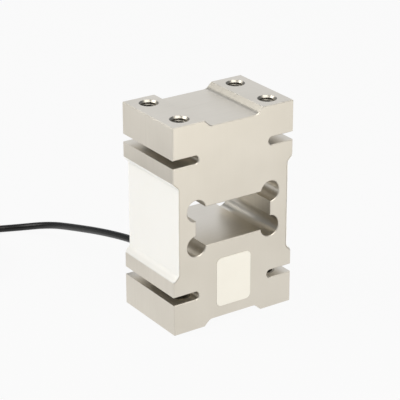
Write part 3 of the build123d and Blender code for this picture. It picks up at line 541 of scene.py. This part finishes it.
def foil_on_base(name, base_colour, foil_colour, foil_from):
    """A base sheet whose outer side, beyond the given distance from the middle, is bare metal foil."""
    material, shader = new_material(name, Base_Color=hex_colour(base_colour), IOR=1.6)
    place = add_node(material, "ShaderNodeTexCoord").outputs["Object"]
    x_place = add_node(material, "ShaderNodeSeparateXYZ", {"Vector": place}).outputs["X"]
    distance = add_node(material, "ShaderNodeMath", {0: x_place}, operation="ABSOLUTE").outputs[0]
    metal = add_node(
        material, "ShaderNodeMath", {0: distance, 1: foil_from}, operation="GREATER_THAN"
    ).outputs[0]
    rolled = add_node(
        material, "ShaderNodeTexNoise", {"Vector": place, "Scale": 1500.0, "Detail": 2.0}
    ).outputs["Fac"]
    shade = add_node(material, "ShaderNodeValToRGB", {"Fac": metal})
    shade.color_ramp.elements[0].color = hex_colour(base_colour)
    shade.color_ramp.elements[1].color = hex_colour(foil_colour)
    gloss = add_node(material, "ShaderNodeMapRange", {"Value": rolled, "To Min": 0.22, "To Max": 0.36})
    wire_up(
        material, shader,
        Base_Color=shade.outputs["Color"], Roughness=gloss.outputs["Result"], Metallic=metal,
    )
    return material


gauge_film = foil_on_base("amber_polyimide_film", "#b87a2c", "#b59a7e", GAUGE_FOIL_FROM)
strip_laminate = foil_on_base("glass_laminate_strip", "#b8a468", "#c9c8c4", STRIP_PADS_FROM)
for side in ("left", "right"):
    dress(f"upper_{side}_gauge", gauge_film)
    dress(f"lower_{side}_gauge", gauge_film)
    dress(f"{side}_terminal_strip", strip_laminate)


# Fine wires of the gauges: copper under a clear amber enamel. They run bare through the slanted bores.
enamel, shader = new_material(
    "enamelled_copper_wire", Base_Color=hex_colour("#b4572a"), Metallic=0.9, Roughness=0.28, Coat_Weight=0.6,
    Coat_Roughness=0.1,
)
place = add_node(enamel, "ShaderNodeTexCoord").outputs["Object"]
patches = add_node(
    enamel, "ShaderNodeTexNoise", {"Vector": place, "Scale": 700.0, "Detail": 2.0}
).outputs["Fac"]
shade = add_node(enamel, "ShaderNodeValToRGB", {"Fac": patches})
shade.color_ramp.elements[0].color = hex_colour("#9c4a22")
shade.color_ramp.elements[1].color = hex_colour("#c66a35")
wire_up(enamel, shader, Base_Color=shade.outputs["Color"])
for side in ("left", "right"):
    dress(f"{side}_gauge_wires", enamel)


# Insulation of the flying leads and the cores inside: stranded copper in extruded PVC. Of the leads, red and
# black are the supply, green and white the signal, and yellow is the screen's drain. The cores are all white.
INSULATION_COLOURS = {
    "red": "#b3211e", "green": "#1f7a3d", "shield": "#d8b62c", "white": "#ecebe6", "black": "#1b1b1b",
}


def pvc_insulation(name, colour):
    """Extruded PVC: an even colour with a soft gloss and a trace of the die's lines."""
    material, shader = new_material(
        f"{name}_pvc_insulation", Base_Color=hex_colour(colour), IOR=1.53, Coat_Weight=0.2,
        Coat_Roughness=0.25,
    )
    place = add_node(material, "ShaderNodeTexCoord").outputs["Object"]
    streaks = add_node(
        material, "ShaderNodeTexNoise", {"Vector": place, "Scale": 1200.0, "Detail": 2.0}
    ).outputs["Fac"]
    gloss = add_node(material, "ShaderNodeMapRange", {"Value": streaks, "To Min": 0.28, "To Max": 0.45})
    bump = add_node(material, "ShaderNodeBump", {"Height": streaks, "Strength": 0.2, "Distance": 0.00003})
    wire_up(material, shader, Roughness=gloss.outputs["Result"], Normal=bump.outputs["Normal"])
    return material


insulation = {name: pvc_insulation(name, colour) for name, colour in INSULATION_COLOURS.items()}
dress("board_leads", insulation["white"])


# Strain relief: a bush of moulded black rubber, pressed into the back face, and behind it a nickel-plated
# steel ring crimped on the cable inside the bore.
rubber, shader = new_material(
    "moulded_black_rubber", Base_Color=hex_colour("#1d1d1c"), Roughness=0.6, IOR=1.52
)
place = add_node(rubber, "ShaderNodeTexCoord").outputs["Object"]
skin = add_node(
    rubber, "ShaderNodeTexNoise", {"Vector": place, "Scale": 1500.0, "Detail": 4.0}
).outputs["Fac"]
shade = add_node(rubber, "ShaderNodeValToRGB", {"Fac": skin})
shade.color_ramp.elements[0].color = hex_colour("#171716")
shade.color_ramp.elements[1].color = hex_colour("#242423")
gloss = add_node(rubber, "ShaderNodeMapRange", {"Value": skin, "To Min": 0.5, "To Max": 0.72})
bump = add_node(rubber, "ShaderNodeBump", {"Height": skin, "Strength": 0.4, "Distance": 0.00004})
wire_up(
    rubber, shader,
    Base_Color=shade.outputs["Color"], Roughness=gloss.outputs["Result"], Normal=bump.outputs["Normal"],
)
dress("cable_bush", rubber)

nickel, shader = new_material(
    "nickel_plated_steel", Base_Color=hex_colour("#c4c1b8"), Metallic=1.0, Roughness=0.25
)
place = add_node(nickel, "ShaderNodeTexCoord").outputs["Object"]
haze = add_node(
    nickel, "ShaderNodeTexNoise", {"Vector": place, "Scale": 600.0, "Detail": 3.0}
).outputs["Fac"]
gloss = add_node(nickel, "ShaderNodeMapRange", {"Value": haze, "To Min": 0.18, "To Max": 0.34})
wire_up(nickel, shader, Roughness=gloss.outputs["Result"])
dress("cable_clamp", nickel)


# Cable: 6 mm shielded cable in a black polyurethane jacket, three metres long. It leaves the back face
# through the bush, droops to the floor and is wound into a round coil of twelve turns, held by two ties.
CABLE_DIAMETER = 0.006
CABLE_ROUTE = [
    (-40.0, 12.0, 47.0), (-40.0, 33.0, 47.0), (-40.0, 45.6, 47.0), (-40.0, 90.8, 36.6), (-40.0, 138.5, 23.0),
    (-41.6, 180.4, 10.8), (-60.0, 206.0, 3.0), (-93.0, 216.65, 4.55), (-121.0, 216.65, 4.55),
]
TAIL_ROUTE = [
    (-169.0, 216.65, 22.55), (-184.5, 216.65, 22.55), (-199.5, 210.0, 17.5), (-209.2, 195.0, 10.5),
    (-209.2, 172.5, 3.5), (-209.2, 153.5, 3.5),
]
COIL_CENTRE = (-145.0, 176.0)
COIL_RADII = (40.65, 34.65, 28.65)
COIL_HEIGHTS = (4.55, 10.55, 16.55, 22.55)
POINTS_PER_TURN = 16
CLIMB_POINTS = 4


def cord_curve(name, points, diameter, material, slot, *replaced):
    """A round cord along one smooth line, whose control points are given in millimetres."""
    curve = bpy.data.curves.new(name, "CURVE")
    curve.dimensions = "3D"
    curve.bevel_depth = 1.0
    curve.bevel_resolution = 5
    curve.resolution_u = 6
    curve.use_fill_caps = True
    spline = curve.splines.new("NURBS")
    spline.points.add(len(points) - 1)
    for point, spot in zip(spline.points, points):
        point.co = [v / 1000 for v in spot] + [1]
        point.radius = diameter / 2
    spline.order_u = 3
    spline.use_endpoint_u = True
    curve.materials.append(material)
    cord = bpy.data.objects.new(name, curve)
    bpy.context.collection.objects.link(cord)
    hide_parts(*replaced)
    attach(cord, "root")
    return cord


jacket, shader = new_material(
    "extruded_polyurethane_jacket", Base_Color=hex_colour("#0e0e0d"), Roughness=0.36, IOR=1.4
)
place = add_node(jacket, "ShaderNodeTexCoord").outputs["Object"]
grain = add_node(jacket, "ShaderNodeTexNoise", {"Vector": place, "Scale": 900.0, "Detail": 3.0})
smear = add_node(jacket, "ShaderNodeTexNoise", {"Vector": place, "Scale": 90.0, "Detail": 2.0})
shade = add_node(jacket, "ShaderNodeValToRGB", {"Fac": smear.outputs["Fac"]})
shade.color_ramp.elements[0].color = hex_colour("#0b0b0a")
shade.color_ramp.elements[1].color = hex_colour("#131312")
gloss = add_node(
    jacket, "ShaderNodeMapRange", {"Value": smear.outputs["Fac"], "To Min": 0.30, "To Max": 0.40}
)
bump = add_node(
    jacket, "ShaderNodeBump", {"Height": grain.outputs["Fac"], "Strength": 0.12, "Distance": 0.0001}
)
wire_up(
    jacket, shader,
    Base_Color=shade.outputs["Color"], Roughness=gloss.outputs["Result"], Normal=bump.outputs["Normal"],
)

turns = []
for row, height in enumerate(COIL_HEIGHTS):
    turns += [(radius, height) for radius in (COIL_RADII if row % 2 == 0 else reversed(COIL_RADII))]
step_angle = 2 * math.pi / POINTS_PER_TURN
stretch = 1 / math.cos(step_angle / 2)
coil_points = [(
    COIL_CENTRE[0] + COIL_RADII[0] * stretch * math.sin(step_angle / 2),
    COIL_CENTRE[1] + COIL_RADII[0],
    COIL_HEIGHTS[0],
)]
for turn, (radius, height) in enumerate(turns):
    next_radius, next_height = turns[min(turn + 1, len(turns) - 1)]
    for k in range(POINTS_PER_TURN):
        change = max(0, k + 1 - (POINTS_PER_TURN - CLIMB_POINTS)) / CLIMB_POINTS
        angle = math.pi / 2 + step_angle * (k + 0.5)
        reach = (radius + (next_radius - radius) * change) * stretch
        coil_points.append((
            COIL_CENTRE[0] + reach * math.cos(angle),
            COIL_CENTRE[1] + reach * math.sin(angle),
            height + (next_height - height) * change,
        ))
coil_points.append((
    COIL_CENTRE[0] - COIL_RADII[0] * stretch * math.sin(step_angle / 2),
    COIL_CENTRE[1] + COIL_RADII[0],
    COIL_HEIGHTS[-1],
))
cable = cord_curve(
    "shielded_cable", CABLE_ROUTE + coil_points + TAIL_ROUTE, CABLE_DIAMETER, jacket, "cable_jacket",
    "cable", "cable_coil", "cable_tail",
)


# Ties: black nylon, moulded with a ratchet head, pulled tight round the coil and cut off short. Fine teeth
# run across the strap, about 1 mm apart.
nylon, shader = new_material(
    "moulded_black_nylon", Base_Color=hex_colour("#1e1e1f"), Roughness=0.4, IOR=1.53
)
place = add_node(nylon, "ShaderNodeTexCoord").outputs["Object"]
teeth = add_node(
    nylon, "ShaderNodeTexWave", {"Vector": place, "Scale": 160.0, "Distortion": 0.0}, bands_direction="Z"
).outputs["Fac"]
orange_peel = add_node(
    nylon, "ShaderNodeTexNoise", {"Vector": place, "Scale": 800.0, "Detail": 2.0}
).outputs["Fac"]
gloss = add_node(nylon, "ShaderNodeMapRange", {"Value": orange_peel, "To Min": 0.3, "To Max": 0.5})
bump = add_node(nylon, "ShaderNodeBump", {"Height": teeth, "Strength": 0.3, "Distance": 0.0001})
wire_up(nylon, shader, Roughness=gloss.outputs["Result"], Normal=bump.outputs["Normal"])
dress("cable_tie_near", nylon)
dress("cable_tie_far", nylon)


# Shrink sleeve: black polyolefin tube, shrunk with hot air over the end of the jacket, so that its neck
# draws in between the five leads.
SLEEVE_X = -209.2
SLEEVE_Z = 3.5
SLEEVE_RADIUS = 3.5
SLEEVE_SIDES = 40
FLUTES = 5
FLUTE_ANGLE = math.radians(18)
CRINKLE_HEIGHT = 0.03
CRINKLE_LENGTH = 2
CRINKLES_ROUND = 1.5
CRINKLED_BEYOND = 2.4
SHARP_SLEEVE_ANGLE = 50
SLEEVE_SHAPE = [  # place along Y, radius, and depth of the flutes between the leads
    (163.0, 3.05, 0.0), (163.0, 3.32, 0.0), (162.8, 3.46, 0.0), (162.4, 3.5, 0.0), (160.0, 3.47, 0.0),
    (157.0, 3.49, 0.0), (154.5, 3.47, 0.0), (153.6, 3.44, 0.0), (153.0, 3.32, 0.0), (152.2, 3.08, 0.03),
    (151.4, 2.83, 0.06), (150.6, 2.64, 0.10), (149.8, 2.52, 0.13), (148.5, 2.47, 0.13), (146.0, 2.46, 0.13),
    (143.6, 2.46, 0.13), (143.2, 2.44, 0.12), (143.0, 2.36, 0.10), (143.0, 2.16, 0.02), (144.0, 2.14, 0.0),
    (150.0, 2.14, 0.0), (153.5, 3.05, 0.0),
]
shrunk, shader = new_material(
    "shrunk_polyolefin_tube", Base_Color=hex_colour("#1a1a1a"), Roughness=0.5, IOR=1.5
)
place = add_node(shrunk, "ShaderNodeTexCoord").outputs["Object"]
crinkle = add_node(
    shrunk, "ShaderNodeTexNoise", {"Vector": place, "Scale": 500.0, "Detail": 3.0}
).outputs["Fac"]
gloss = add_node(shrunk, "ShaderNodeMapRange", {"Value": crinkle, "To Min": 0.4, "To Max": 0.62})
bump = add_node(shrunk, "ShaderNodeBump", {"Height": crinkle, "Strength": 0.3, "Distance": 0.0001})
wire_up(shrunk, shader, Roughness=gloss.outputs["Result"], Normal=bump.outputs["Normal"])
bm = bmesh.new()
rings = []
for y, radius, flute in SLEEVE_SHAPE:
    ring = []
    for k in range(SLEEVE_SIDES):
        angle = 2 * math.pi * k / SLEEVE_SIDES
        reach = radius + flute * math.cos(FLUTES * (angle - FLUTE_ANGLE))
        if radius > CRINKLED_BEYOND:
            reach += CRINKLE_HEIGHT * noise.noise(Vector((
                math.cos(angle) * CRINKLES_ROUND, y / CRINKLE_LENGTH, math.sin(angle) * CRINKLES_ROUND,
            )))
        reach = min(reach, SLEEVE_RADIUS)
        ring.append((SLEEVE_X + reach * math.cos(angle), y, SLEEVE_Z + reach * math.sin(angle)))
    rings.append(ring)
shell_of_rings(bm, rings, closed=True)
sleeve = piece_from(
    "end_sleeve", finished_mesh(bm, "end_sleeve", SHARP_SLEEVE_ANGLE), shrunk, "shrink_sleeve",
    "jacket_sleeve",
)


# Flying leads on the floor: 1.4 mm across, fanned out from the sleeve. Each ends in 6 mm of bared strands,
# twisted and tinned.
LEAD_DIAMETER = 0.0014
BUNDLE_RADIUS = 1.35
JACKET_END_Y = 153.5
LEAD_START_Y = 153.4
STRAIGHT_Y = (146.5, 140.5)
DROP_Y = 125.5
LEAD_REST_Z = 0.7
LEADS = [  # name, place in the bundle in degrees, and how far to the side and along it drops and ends
    ("red", 162.0, -2.8, -2.8, 43.0), ("green", 234.0, -0.6, 2.0, 44.5), ("shield", 90.0, 1.6, 6.2, 42.5),
    ("white", 306.0, 3.8, 11.2, 44.0), ("black", 18.0, 6.0, 16.2, 42.0),
]
STRANDS = 7
STRAND_RADIUS = 0.15
STRAND_SIDES = 6
STRAND_STEPS = 28
LAST_LAY = 0.8
LAST_RADIUS = 0.55
TWIST_PER_MM = math.radians(50)
TIP_LENGTH = 6.0
TIP_HIDDEN = 1.0
SHARP_STRAND_ANGLE = 60
tinned, shader = new_material(
    "tinned_copper_strands", Base_Color=hex_colour("#cfcdc8"), Metallic=1.0, Roughness=0.3
)
place = add_node(tinned, "ShaderNodeTexCoord").outputs["Object"]
solder = add_node(
    tinned, "ShaderNodeTexNoise", {"Vector": place, "Scale": 1500.0, "Detail": 2.0}
).outputs["Fac"]
gloss = add_node(tinned, "ShaderNodeMapRange", {"Value": solder, "To Min": 0.2, "To Max": 0.42})
bump = add_node(tinned, "ShaderNodeBump", {"Height": solder, "Strength": 0.3, "Distance": 0.00005})
wire_up(tinned, shader, Roughness=gloss.outputs["Result"], Normal=bump.outputs["Normal"])
bm = bmesh.new()
upwards = Vector((0, 0, 1))
for name, angle, drop_shift, end_shift, reach in LEADS:
    start_x = SLEEVE_X + BUNDLE_RADIUS * math.cos(math.radians(angle))
    start_z = SLEEVE_Z + BUNDLE_RADIUS * math.sin(math.radians(angle))
    lead_route = [(start_x, y, start_z) for y in (LEAD_START_Y, *STRAIGHT_Y)] + [
        (SLEEVE_X + drop_shift, DROP_Y, LEAD_REST_Z),
        (SLEEVE_X + end_shift, JACKET_END_Y - reach, LEAD_REST_Z),
    ]
    lead = cord_curve(
        f"{name}_flying_lead", lead_route, LEAD_DIAMETER, insulation[name], f"{name}_insulation",
        f"{name}_lead",
    )
    heading = (Vector(lead_route[-1]) - Vector(lead_route[-2])).normalized()
    sideways = heading.cross(upwards)
    for strand in range(STRANDS):
        rings = []
        for k in range(STRAND_STEPS + 1):
            last = k == STRAND_STEPS
            along = k / STRAND_STEPS * (TIP_LENGTH + TIP_HIDDEN)
            turned = TWIST_PER_MM * along + 2 * math.pi * strand / (STRANDS - 1)
            off_axis = (2 * STRAND_RADIUS if strand else 0) * (LAST_LAY if last else 1)
            middle = Vector(lead_route[-1]) + heading * (along - TIP_HIDDEN)
            middle += (sideways * math.cos(turned) + upwards * math.sin(turned)) * off_axis
            thick = STRAND_RADIUS * (LAST_RADIUS if last else 1)
            corners = [2 * math.pi * corner / STRAND_SIDES for corner in range(STRAND_SIDES)]
            rings.append([
                middle + (sideways * math.cos(a) + upwards * math.sin(a)) * thick for a in corners
            ])
        shell_of_rings(bm, rings)
tips = piece_from(
    "tinned_tips", finished_mesh(bm, "tinned_tips", SHARP_STRAND_ANGLE), tinned, "tinned_copper", "lead_tips"
)


# Floor and light: a pale studio floor that glows evenly, under four softboxes: one at the left, one high in
# front, a large one behind on the right for the top, and a small warm card near the floor in front.
FLOOR_HALF = 30.0
FLOOR_DROP = 0.0002
SKY_COLOUR = (0.9, 0.95, 1, 1)
SKY_STRENGTH = 0.25
SOFTBOXES = [  # name, direction across the floor, height in degrees, distance, size, power, colour
    ("left_softbox", (-0.90, 0.42), 42, 2.0, 1.6, 26.0, (1.0, 0.985, 0.95)),
    ("high_softbox", (0.05, -1.0), 62, 2.0, 1.8, 22.0, (1.0, 0.98, 0.94)),
    ("back_softbox", (0.51, 0.76), 28, 2.0, 1.6, 5.0, (0.97, 0.98, 1.02)),
    ("front_card", (0.22, -0.98), 12, 0.5, 0.36, 0.50, (1.0, 0.96, 0.85)),
]
floor_mesh = bpy.data.meshes.new("floor")
floor_mesh.from_pydata(
    [(x * FLOOR_HALF, y * FLOOR_HALF, 0) for x, y in ((-1, -1), (1, -1), (1, 1), (-1, 1))], [], [(0, 1, 2, 3)]
)
floor = bpy.data.objects.new("floor", floor_mesh)
bpy.context.collection.objects.link(floor)
floor.location.z = -FLOOR_DROP
floor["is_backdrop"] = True
paper, shader = new_material(
    "studio_paper", Base_Color=(0.02, 0.02, 0.02, 1), Roughness=1.0, Specular_IOR_Level=0.0,
    Emission_Color=(1, 1, 1, 1), Emission_Strength=0.935,
)
floor_mesh.materials.append(paper)
world = bpy.data.worlds.new("studio")
bpy.context.scene.world = world
world.use_nodes = True
world.node_tree.nodes["Background"].inputs["Color"].default_value = SKY_COLOUR
world.node_tree.nodes["Background"].inputs["Strength"].default_value = SKY_STRENGTH
for name, across, elevation, distance, size, power, colour in SOFTBOXES:
    softbox = bpy.data.lights.new(name, "AREA")
    softbox.shape = "DISK"
    softbox.size = size
    softbox.energy = power
    softbox.color = colour
    lamp = bpy.data.objects.new(name, softbox)
    bpy.context.collection.objects.link(lamp)
    level = Vector((*across, 0)).normalized() * math.cos(math.radians(elevation))
    away = level + Vector((0, 0, math.sin(math.radians(elevation))))
    lamp.location = Vector((0, 0, MIDDLE_Z / 1000)) + away * distance
    lamp.rotation_euler = away.to_track_quat("Z", "Y").to_euler()
bpy.context.scene.view_settings.view_transform = "Standard"

bpy.context.view_layer.update()
low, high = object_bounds()
